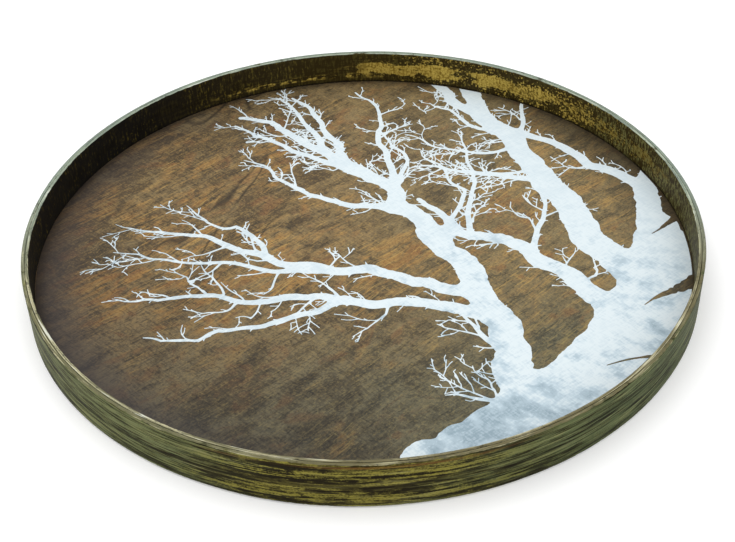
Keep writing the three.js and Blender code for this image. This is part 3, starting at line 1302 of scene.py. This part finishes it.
    def _branch(self, limb: Limb, first: float, gap: float, reach: float, level: int) -> None:
        """Adds side branches along a limb, mostly on alternate sides, and theirs in turn.

        Args:
            limb: The limb that bears them.
            first: The share of the limb that stays bare.
            gap: The usual distance between branches.
            reach: The longest branch.
            level: How many branchings they are from a main limb.
        """
        total = limb.length()
        distance = first * total + self.rng.uniform(0.2, 1.0) * gap
        side = self.rng.choice([-1, 1])
        while distance < total * 0.985:
            point, heading, width = limb.at(distance)
            if math.hypot(*point) > self.floor_reach:
                break
            angle = heading + side * self.rng.uniform(0.45, 1.15)
            length = reach * (0.18 + 0.95 * self.rng.random() ** 1.7) * (1 - 0.3 * distance / total)
            thickness = max(min(width * 0.5, 0.30 + length * 0.02), 0.34)
            turn = (angle, -side * self.rng.uniform(-0.3, 0.9))
            shoot = self._lay(point, turn, length + width, (thickness, 0.3), self.twig_gnarl)
            self.limbs.append(shoot)
            if level < self.deepest and length > self.shortest_parent:
                closer = max(gap * self.gap_shrink, self.least_gap)
                self._branch(shoot, self.branch_start, closer, length * self.reach_shrink, level + 1)
            side = -side if self.rng.random() < self.side_change else side
            distance += gap * self.rng.uniform(0.45, 1.6)

    def _stubs(self, limb: Limb) -> None:
        """Adds short broken stubs on either side of a limb.

        Args:
            limb: The limb that bears them.
        """
        distance = self.rng.uniform(0, self.stub_gap)
        while distance < limb.length():
            point, heading, width = limb.at(distance)
            angle = heading + self.rng.choice([-1, 1]) * self.rng.uniform(0.6, 1.3)
            way = np.array([math.cos(angle), math.sin(angle)])
            end = point + way * (width + self.rng.uniform(1, 5))
            half_width = np.array([min(width * 0.6, 2.2), min(width * 0.3, 1.1), 0.35])
            self.limbs.append(Limb(np.array([point, point + way * width * 0.8, end]), half_width, False))
            distance += self.stub_gap * self.rng.uniform(0.4, 1.8)


def blended(
    grid: np.ndarray, row: np.ndarray, column: np.ndarray, up: np.ndarray, along: np.ndarray
) -> np.ndarray:
    """Values between a grid's points, blended linearly along the rows and then between them.

    Args:
        grid: The grid's values.
        row: The rows just below the wanted places.
        column: The columns just before them.
        up: How far each place lies towards the next row, from 0 to 1.
        along: How far it lies towards the next column.

    Returns:
        The blended values.
    """
    low = grid[row, column] * (1 - along) + grid[row, column + 1] * along
    high = grid[row + 1, column] * (1 - along) + grid[row + 1, column + 1] * along
    return low * (1 - up) + high * up


# The steps of an outline through one cell of the grid, for each of the 16 cases of painted corners, as sides
# of the cell by their compass letters: two letters are one step, four are two.
CELL_STEPS = ("", "SW", "ES", "EW", "NE", "SWNE", "NS", "NW", "WN", "SN", "ESWN", "EN", "WE", "SE", "WS", "")


@dataclass
class PaintedTree:
    """A bare tree painted on the floor as a thin film of paint with a crisp cut edge."""

    floor_node: str = "face_veneer"
    piece: str = "painted_tree"
    slot: str = "white_paint"
    seed: int = 14
    split_count: int = 3
    half_span_mm: float = 300.0
    pitch_mm: float = 0.48
    margin_mm: float = 0.9
    bare_mm: float = 20.0
    split_fillet_mm: float = 0.5
    largest_fillet_mm: float = 7.0
    keep_bend_mm: float = 0.05
    longest_span_mm: float = 9.0
    thinning_passes: int = 8
    hills: tuple[tuple[float, float], ...] = ((0.5, 11.0), (0.35, 4.5), (0.25, 2.0))
    film: float = 0.12 * MM
    lift: float = 0.01 * MM

    def value_noise(self, rng: np.random.Generator, count: int, cell_mm: float) -> np.ndarray:
        """Smooth random hills on the paint grid: random lattice heights blended with a smooth step.

        Args:
            rng: The source of the heights.
            count: Points along a side of the grid.
            cell_mm: The hills' spacing.

        Returns:
            Heights from -1 to 1.
        """
        lattice = rng.uniform(-1, 1, (int(count * self.pitch_mm / cell_mm) + 3,) * 2)
        place = np.arange(count) * self.pitch_mm / cell_mm
        cell = place.astype(int)
        share = place - cell
        share = share * share * (3 - 2 * share)
        return blended(lattice, cell[:, None], cell[None, :], share[:, None], share[None, :])

    def distance_field(
        self, limbs: Sequence[Limb], splits: Sequence[Limb], reach_mm: float
    ) -> tuple[np.ndarray, np.ndarray]:
        """How far each grid point lies from the painted edge, negative inside the paint.

        Limbs are blended so that the crotch between two has a small fillet: the lesser of the two fields,
        less a quarter of the fillet times the square of how nearly equal they are. Splits are cut out, and
        the floor's edge cuts the whole.

        Args:
            limbs: The limbs, in the order they are laid down.
            splits: The splits in the bark.
            reach_mm: The radius beyond which there is no paint.

        Returns:
            The grid's axis in millimetres, and the field.
        """
        count = int(round(2 * self.half_span_mm / self.pitch_mm)) + 1
        axis = np.linspace(-self.half_span_mm, self.half_span_mm, count)
        rng = np.random.default_rng(self.seed + 1)
        hills = sum(height * self.value_noise(rng, count, cell_mm) for height, cell_mm in self.hills)
        field_mm = np.full((count, count), self.bare_mm)
        for limb in limbs:
            base = float(limb.half_width[:3].mean())
            fillet = min(0.6 + 0.55 * base if limb.is_main else 0.4 + 0.5 * base, self.largest_fillet_mm)
            place, own = self._limb_field(limb, axis, hills, fillet)
            laid = field_mm[place]
            alike = np.clip((fillet - np.abs(laid - own)) / fillet, 0, None)
            laid[:] = np.minimum(laid, own) - alike * alike * fillet * 0.25
        for split in splits:
            place, own = self._limb_field(split, axis, hills, self.split_fillet_mm)
            field_mm[place] = np.maximum(field_mm[place], -own)
        across, up = np.meshgrid(axis, axis)
        return axis, np.maximum(field_mm, np.hypot(across, up) - reach_mm)

    def _limb_field(
        self, limb: Limb, axis: np.ndarray, hills: np.ndarray, fillet: float
    ) -> tuple[tuple[slice, slice], np.ndarray]:
        """One limb's own field: the least distance to its tapered lengths, roughened by random hills.

        Args:
            limb: The limb.
            axis: The grid's axis.
            hills: The hills over the whole grid.
            fillet: How far past the limb's edge the field is wanted.

        Returns:
            The rows and columns that it covers, which are empty off the grid, and the field there.
        """
        margin = fillet + 1.5
        place = self._window(limb.line, float(limb.half_width.max()) + margin, len(axis))
        own = np.full_like(hills[place], self.bare_mm)
        first_row, first_column = place[0].start, place[1].start
        for start, end, wide, narrow in zip(limb.line, limb.line[1:], limb.half_width, limb.half_width[1:]):
            rows, columns = self._window(np.array([start, end]), max(wide, narrow) + margin, len(axis))
            x = axis[columns][None, :] - start[0]
            y = axis[rows][:, None] - start[1]
            way = end - start
            share = np.clip((x * way[0] + y * way[1]) / max(way @ way, 1e-9), 0, 1)
            away = np.hypot(x - share * way[0], y - share * way[1]) - (wide + (narrow - wide) * share)
            inner_rows = slice(rows.start - first_row, rows.stop - first_row)
            inner_columns = slice(columns.start - first_column, columns.stop - first_column)
            if away.size:
                own[inner_rows, inner_columns] = np.minimum(own[inner_rows, inner_columns], away)
        return place, own + hills[place] * min(0.13 * float(limb.half_width.mean()) + 0.06, 1.2)

    def _window(self, line: np.ndarray, margin: float, count: int) -> tuple[slice, slice]:
        """The grid rows and columns within a margin of a line, which are empty where it is off the grid.

        Args:
            line: The line's points.
            margin: The margin in millimetres.
            count: Points along a side of the grid.

        Returns:
            The rows and the columns.
        """
        low = (line.min(axis=0) - margin + self.half_span_mm) / self.pitch_mm
        high = (line.max(axis=0) + margin + self.half_span_mm) / self.pitch_mm
        low = low.astype(int).clip(0, count)
        high = np.maximum(high.astype(int).clip(-2, count - 2) + 2, low)
        return slice(low[1], high[1]), slice(low[0], high[0])

    def outline(self, axis: np.ndarray, field_mm: np.ndarray) -> tuple[np.ndarray, np.ndarray]:
        """Traces the field's zero line with marching squares.

        A point lies on each grid edge whose ends differ in sign, where a straight line between their values
        is zero. Each cell joins its points with one or two steps that keep the paint on their left.

        Args:
            axis: The grid's axis in millimetres.
            field_mm: The field.

        Returns:
            The outline's points, and each point's follower by number.
        """
        inside = field_mm < 0
        flat = np.zeros(field_mm.shape, dtype=int)
        tall = np.zeros(field_mm.shape, dtype=int)
        row_h, col_h = np.nonzero(inside[:, :-1] != inside[:, 1:])
        row_v, col_v = np.nonzero(inside[:-1, :] != inside[1:, :])
        flat[row_h, col_h] = np.arange(row_h.size)
        tall[row_v, col_v] = row_h.size + np.arange(row_v.size)
        pitch = axis[1] - axis[0]
        share_h = field_mm[row_h, col_h] / (field_mm[row_h, col_h] - field_mm[row_h, col_h + 1])
        share_v = field_mm[row_v, col_v] / (field_mm[row_v, col_v] - field_mm[row_v + 1, col_v])
        on_flat = np.column_stack([axis[col_h] + share_h * pitch, axis[row_h]])
        on_tall = np.column_stack([axis[col_v], axis[row_v] + share_v * pitch])
        points = np.vstack([on_flat, on_tall])
        case = inside[:-1, :-1] + 2 * inside[:-1, 1:] + 4 * inside[1:, 1:] + 8 * inside[1:, :-1]
        sides = {"S": flat[:-1, :-1], "E": tall[:-1, 1:], "N": flat[1:, :-1], "W": tall[:-1, :-1]}
        follower = np.full(len(points), -1)
        for number, steps in enumerate(CELL_STEPS):
            here = np.nonzero(case == number)
            for start, end in zip(steps[::2], steps[1::2]):
                follower[sides[start][here]] = sides[end][here]
        return points, follower

    def _thinned(self, points: np.ndarray, follower: np.ndarray) -> tuple[np.ndarray, np.ndarray]:
        """Drops points that bend the outline by less than keep_bend_mm, a few passes over.

        Args:
            points: The outline's points.
            follower: Each point's follower.

        Returns:
            The points that are left, and their followers.
        """
        rng = np.random.default_rng(self.seed + 2)
        for _ in range(self.thinning_passes):
            leader = np.empty_like(follower)
            leader[follower] = np.arange(len(follower))
            chord = points[follower] - points[leader]
            span = np.linalg.norm(chord, axis=1) + 1e-9
            gap = points - points[leader]
            bend = np.abs(chord[:, 0] * gap[:, 1] - chord[:, 1] * gap[:, 0]) / span
            rank = bend + rng.uniform(0, 1e-4, len(bend))
            drop = (rank < rank[leader]) & (rank < rank[follower]) & (follower[follower] != leader)
            drop &= (bend < self.keep_bend_mm) & (span < self.longest_span_mm)
            follower = np.where(drop[follower], follower[follower], follower)
            number = np.cumsum(~drop) - 1
            points = points[~drop]
            follower = number[follower[~drop]]
        return points, follower

    def build(self, material: Material) -> Piece:
        """Fills the outline with triangles and gives it the film's thickness.

        Args:
            material: The paint's finish.

        Returns:
            The painted film.
        """
        low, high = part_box(self.floor_node)
        reach_mm = float(high[0] - low[0]) / 2 / MM - self.margin_mm
        grower = TreeGrower(np.random.default_rng(self.seed), self.half_span_mm)
        limbs = grower.grow(LIMB_PLANS)
        axis, field_mm = self.distance_field(limbs, grower.cracks(self.split_count), reach_mm)
        points, follower = self._thinned(*self.outline(axis, field_mm))
        corners, triangles = self._filled(points, follower, field_mm)
        floor = float(high[2])
        count = len(corners)
        top = np.column_stack([corners * MM, np.full(count, floor + self.film)])
        under = np.column_stack([corners * MM, np.full(count, floor + self.lift)])
        start, end = self._rim_edges(triangles)
        first_half = np.column_stack([start, start + count, end + count])
        second_half = np.column_stack([start, end + count, end])
        faces = np.vstack([triangles, triangles[:, ::-1] + count, first_half, second_half])
        film = make_object(self.piece, np.vstack([top, under]), faces, smooth=False)
        LOG.info("painted tree: %d limbs, %d outline points", len(limbs), len(points))
        return dress(film, material)

    def _filled(
        self, points: np.ndarray, follower: np.ndarray, field_mm: np.ndarray
    ) -> tuple[np.ndarray, np.ndarray]:
        """Triangulates the outline and keeps the triangles inside the paint.

        Args:
            points: The outline's points.
            follower: Each point's follower.
            field_mm: The field, for triangles that touch no outline step.

        Returns:
            Corner points, and counter-clockwise triangles.
        """
        steps = np.column_stack([np.arange(len(points)), follower])
        result = delaunay_2d_cdt([Vector(p) for p in points.tolist()], steps.tolist(), [], 0, 1e-7, False)
        corners = np.array([tuple(v) for v in result[0]])
        triangles = np.array([face for face in result[2] if len(face) == 3])
        a, b, c = (corners[triangles[:, k]] for k in range(3))
        area = (b[:, 0] - a[:, 0]) * (c[:, 1] - a[:, 1]) - (b[:, 1] - a[:, 1]) * (c[:, 0] - a[:, 0])
        triangles = np.where((area < 0)[:, None], triangles[:, ::-1], triangles)
        triangles = triangles[np.abs(area) > 1e-9]
        size = len(corners)
        pairs = triangles * size + np.roll(triangles, -1, axis=1)
        is_in = np.isin(pairs, steps[:, 0] * size + steps[:, 1]).any(axis=1)
        is_out = np.isin(pairs, steps[:, 1] * size + steps[:, 0]).any(axis=1)
        place = (corners[triangles].mean(axis=1) + self.half_span_mm) / self.pitch_mm
        cell = place.astype(int).clip(0, len(field_mm) - 2)
        along, up = (place - cell).T
        sampled = blended(field_mm, cell[:, 1], cell[:, 0], up, along) < 0
        return corners, triangles[np.where(is_in | is_out, is_in & ~is_out, sampled)]

    @staticmethod
    def _rim_edges(triangles: np.ndarray) -> tuple[np.ndarray, np.ndarray]:
        """Finds the directed edges that belong to just one triangle.

        Args:
            triangles: Corner numbers, three to a face.

        Returns:
            The edges' starts and their ends.
        """
        size = int(triangles.max()) + 1
        start = triangles.ravel()
        end = np.roll(triangles, -1, axis=1).ravel()
        lonely = ~np.isin(start * size + end, end * size + start)
        return start[lonely], end[lonely]


# --- The tray and its studio ---


@dataclass
class ServingTray:
    """The whole tray, built from the rim inwards and then underneath."""

    outer_thickness: float = 3.3 * MM
    inner_thickness: float = 3.1 * MM
    outer_scarf: float = 257.0
    inner_scarf: float = 77.0
    outer_arrises: tuple[float, float, float, float] = (0.5 * MM, 1.5 * MM, 1.0 * MM, 0.35 * MM)
    inner_arrises: tuple[float, float, float, float] = (0.3 * MM, 0.3 * MM, 0.35 * MM, 0.9 * MM)
    pieces: list[Piece] = field(default_factory=list)

    def build(self) -> list[Piece]:
        """Builds every piece.

        Returns:
            The new pieces.
        """
        self._rim()
        self._panel()
        self._pads()
        self._hidden_nodes()
        return self.pieces

    def _add(self, piece: Piece) -> None:
        """Notes a finished piece and reports it."""
        self.pieces.append(piece)
        LOG.info("%s: %d corners, %d faces", piece.name, len(piece.data.vertices), len(piece.data.polygons))

    def _rim(self) -> None:
        """The two bent strips."""
        outer = BentStrip(
            "rim_outer_ply", "rim_outer_strip", "rim_leaf_outer",
            self.outer_scarf, self.outer_thickness, self.outer_arrises, seed=21,
        )
        inner = BentStrip(
            "rim_inner_ply", "rim_inner_strip", "rim_leaf_inner",
            self.inner_scarf, self.inner_thickness, self.inner_arrises, seed=22,
        )
        _, bottom, top = outer.box()
        self._add(outer.build(OuterRimLeaf(top, bottom).material()))
        self._add(inner.build(InnerRimLeaf(top, inner.box()[1]).material()))

    def _panel(self) -> None:
        """The face veneer, the backing veneer and the painted tree."""
        face = Disc("face_veneer", "floor_veneer", "stained_veneer", 0.15 * MM, grow=0.3 * MM)
        backing = Disc("backing_veneer", "backing_sheet", "backing", 0.2 * MM)
        self._add(face.build(StainedVeneer().material()))
        self._add(backing.build(BACKING_PAINT.material()))
        self._add(PaintedTree().build(BrushedWhite().material()))

    def _pads(self) -> None:
        """The felt pads."""
        felt = PRESSED_FELT.material()
        nodes = sorted(name for name in frame["nodes"] if name.startswith("felt_pad_"))
        for number, node in enumerate(nodes):
            pad = Disc(node, f"{node}_soft", "felt", 1.1 * MM, 6, 96, ragged=0.5 * MM, seed=number)
            self._add(pad.build(felt))

    def _hidden_nodes(self) -> None:
        """Dresses the CAD nodes that stay: the board and the brads."""
        board = RAW_BOARD.material()
        wire = DRAWN_WIRE.material()
        for name, node in frame["nodes"].items():
            if name == "panel_core" or name.startswith("rim_brad_"):
                node.data.materials.clear()
                node.data.materials.append(board if name == "panel_core" else wire)


@dataclass(frozen=True)
class Studio:
    """A pale floor, soft light and the camera."""

    lens_in_frames: float = 1.82653
    elevation: float = math.radians(38.60)
    roll: float = math.radians(-1.674)
    distance: float = 1.2449
    aim_right: float = 3.2 * MM
    aim_up: float = -13.2 * MM
    sensor: float = 36.0
    floor_reach: float = 6.0
    room_strength: float = 0.95
    light_size: float = 2.4

    def camera(self) -> None:
        """Stands the camera back from the tray along its line of sight and rolls it about that line."""
        back = Vector((0.0, -math.cos(self.elevation), math.sin(self.elevation)))
        right = Vector((1.0, 0.0, 0.0))
        up = back.cross(right)
        turned_right = right * math.cos(self.roll) + up * math.sin(self.roll)
        turned_up = up * math.cos(self.roll) - right * math.sin(self.roll)
        foot = Vector((0.0, 0.0, float(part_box("rim_outer_ply")[0][2])))
        place = back * self.distance + right * self.aim_right + up * self.aim_up + foot
        data = bpy.data.cameras.new("camera")
        data.sensor_width = self.sensor
        data.lens = self.lens_in_frames * self.sensor
        camera = bpy.data.objects.new("camera", data)
        axes = Matrix((turned_right, turned_up, back)).transposed().to_4x4()
        camera.matrix_world = Matrix.Translation(place) @ axes
        bpy.context.scene.collection.objects.link(camera)
        bpy.context.scene.camera = camera

    def floor(self) -> None:
        """A wide pale sheet under the tray: a flat grid of points."""
        side = np.linspace(-self.floor_reach, self.floor_reach, 3)
        x, y = np.meshgrid(side, side, indexing="ij")
        points = np.stack([x, y, np.zeros_like(x)], axis=-1).reshape(-1, 3)
        floor = make_object("studio_floor", points, grid_faces(3, 3, False, False))
        sheet = ShaderSheet("studio_paper")
        sheet.base = sheet.mix(sheet.marks((300, 300, 300), 2), grey(0.94), grey(0.96))
        glow = {"Emission_Color": grey(1.0), "Emission_Strength": 0.12}
        floor.data.materials.append(sheet.finish(Roughness=0.9, Specular_IOR_Level=0.1, **glow))

    def lights(self) -> None:
        """A white room with a soft light from the left and a weaker one from the front."""
        world = bpy.data.worlds.new("white_room")
        world.use_nodes = True
        background = world.node_tree.nodes["Background"]
        background.inputs["Color"].default_value = grey(1.0)
        background.inputs["Strength"].default_value = self.room_strength
        bpy.context.scene.world = world
        self._soft_light("key", (-1.0, 0.5, 2.5), 22.0)
        self._soft_light("fill", (1.0, -1.9, 2.2), 14.0)

    def _soft_light(self, name: str, place: tuple[float, float, float], power: float) -> None:
        """Hangs a square soft light that faces the tray.

        Args:
            name: The light's name.
            place: Where it hangs.
            power: Its power in watts.
        """
        data = bpy.data.lights.new(name, "AREA")
        data.shape = "SQUARE"
        data.size = self.light_size
        data.energy = power
        light = bpy.data.objects.new(name, data)
        light.location = place
        light.rotation_euler = (-Vector(place)).to_track_quat("-Z", "Y").to_euler()
        bpy.context.scene.collection.objects.link(light)

    def set_up(self) -> None:
        """Makes the camera, the floor and the lights."""
        bpy.context.scene.view_settings.view_transform = "Standard"
        self.camera()
        self.floor()
        self.lights()


def main() -> None:
    """Builds the studio and the tray."""
    logging.basicConfig(level=logging.INFO, format="%(name)s %(message)s")
    Studio().set_up()
    pieces = ServingTray().build()
    LOG.info("%d new pieces", len(pieces))


if __name__ == "__main__":
    main()
